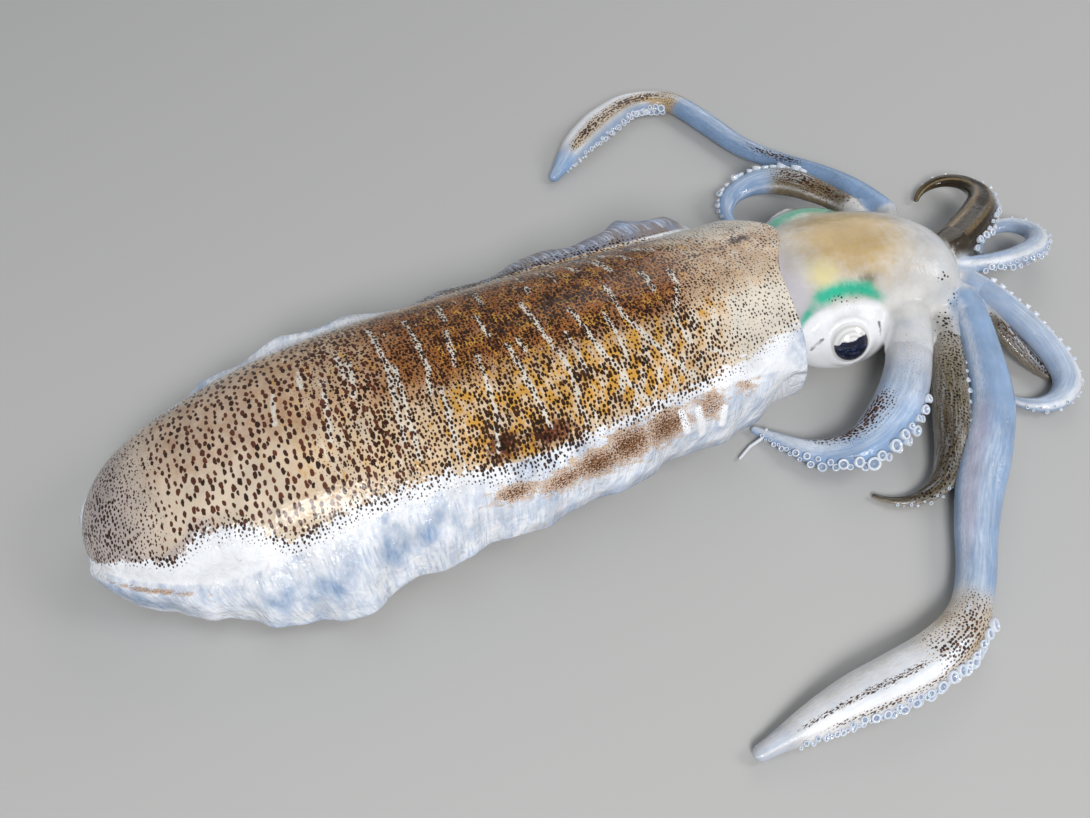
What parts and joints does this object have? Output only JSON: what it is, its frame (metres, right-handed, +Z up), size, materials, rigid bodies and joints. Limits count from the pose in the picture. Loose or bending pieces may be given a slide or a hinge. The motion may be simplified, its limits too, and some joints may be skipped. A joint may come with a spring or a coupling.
{
  "type": "whole raw squid",
  "caption": "Whole raw bigfin reef squid lying on its belly, mantle closed, fins draped, arms and tentacles spread out and curled on the table.",
  "frame": {"origin": "on the flat of the belly where it rests on the table, under the widest part of the mantle", "axes": "+X from the tail to the arms, +Y to the squid's left side, +Z up out of the back"},
  "size_m": [0.2843, 0.2257, 0.039],
  "materials": {
    "skin": "wet raw squid skin, speckled brown over pale beige, glossy",
    "lens": "wet dark eye lens, glossy"
  },
  "bodies": {
    "root": {"squid": "skin", "eye_right": "lens", "eye_left": "lens"}
  },
  "joints": []
}
